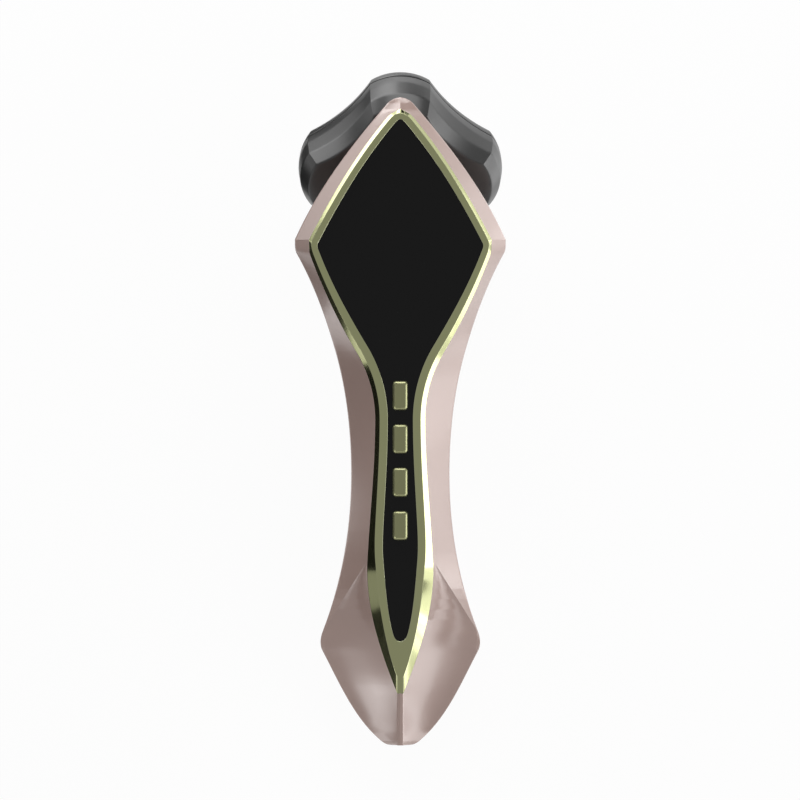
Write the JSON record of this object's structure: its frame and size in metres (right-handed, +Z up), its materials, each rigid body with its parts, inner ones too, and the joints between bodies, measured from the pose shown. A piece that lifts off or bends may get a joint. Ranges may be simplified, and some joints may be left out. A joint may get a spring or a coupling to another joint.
{
  "type": "facial massager",
  "caption": "Hand-held facial massager: rose-gold waisted body, diamond display, column of gold keys, swept fishtail and tilted four-lobed black massage head.",
  "frame": {"origin": "the middle of the bounding box, on the table that the device lies on, resting on its back", "axes": "+Y runs along the device towards the massage head, +Z is up away from the table, +X is to the right seen from the display side. The flat front leans 13.8 degrees, head end higher"},
  "size_m": [0.0594, 0.1884, 0.0582],
  "materials": {
    "rose_gold": "satin rose-gold coated shell",
    "gold_trim": "bright olive-gold anodised trim with a bevelled edge",
    "gold_key": "satin olive-gold keys with a bright chamfer",
    "black_window": "gloss black window",
    "black_head": "semi-gloss black",
    "electrode_metal": "polished",
    "lens": "frosted lens",
    "dark_plastic": "matte",
    "seal_rubber": "matte",
    "strap": "woven strap",
    "board": "green circuit board",
    "battery_wrap": "shrink-wrapped cell",
    "steel": "plated steel"
  },
  "bodies": {
    "body": {"front_shell": "rose_gold", "rear_shell": "rose_gold", "bezel": "gold_trim", "front_panel": "black_window", "display_module": "dark_plastic", "control_board": "board", "battery": "battery_wrap", "battery_strap": "strap", "buzzer": "dark_plastic", "controller_chip": "dark_plastic", "charging_socket": "steel", "shell_screw_1": "steel", "shell_screw_2": "steel", "shell_screw_3": "steel", "board_screw_1": "steel", "board_screw_2": "steel", "board_screw_3": "steel", "head_housing": "black_head", "neck_collar": "seal_rubber", "head_screw_1": "steel", "head_screw_2": "steel", "head_screw_3": "steel", "face_plate": "black_head", "electrode_right": "electrode_metal", "electrode_top": "electrode_metal", "electrode_left": "electrode_metal", "electrode_bottom": "electrode_metal", "light_lens": "lens", "light_board": "board", "motor_can": "steel", "motor_clamp": "steel", "power_switch": "steel", "mode_switch": "steel", "up_switch": "steel", "down_switch": "steel"},
    "power_key": {"power_button": "gold_key", "power_plunger": "dark_plastic"},
    "mode_key": {"mode_button": "gold_key", "mode_plunger": "dark_plastic"},
    "up_key": {"up_button": "gold_key", "up_plunger": "dark_plastic"},
    "down_key": {"down_button": "gold_key", "down_plunger": "dark_plastic"},
    "motor_rotor": {"motor_shaft": "steel", "motor_weight": "steel"}
  },
  "joints": [
    {"name": "power_press", "type": "slide", "parent": "body", "child": "power_key", "axis": [0, 0.2379, -0.9713], "range_m": [0, 0.0005], "stiffness_N_per_m": 2000, "springref_m": -0.0003},
    {"name": "mode_press", "type": "slide", "parent": "body", "child": "mode_key", "axis": [0, 0.2379, -0.9713], "range_m": [0, 0.0005], "stiffness_N_per_m": 2000, "springref_m": -0.0003},
    {"name": "up_press", "type": "slide", "parent": "body", "child": "up_key", "axis": [0, 0.2379, -0.9713], "range_m": [0, 0.0005], "stiffness_N_per_m": 2000, "springref_m": -0.0003},
    {"name": "down_press", "type": "slide", "parent": "body", "child": "down_key", "axis": [0, 0.2379, -0.9713], "range_m": [0, 0.0005], "stiffness_N_per_m": 2000, "springref_m": -0.0003},
    {"name": "motor_spin", "type": "hinge", "parent": "body", "child": "motor_rotor", "pos_m": [0, 0.05827, 0.01798], "axis": [1, 0, 0], "continuous": true}
  ]
}
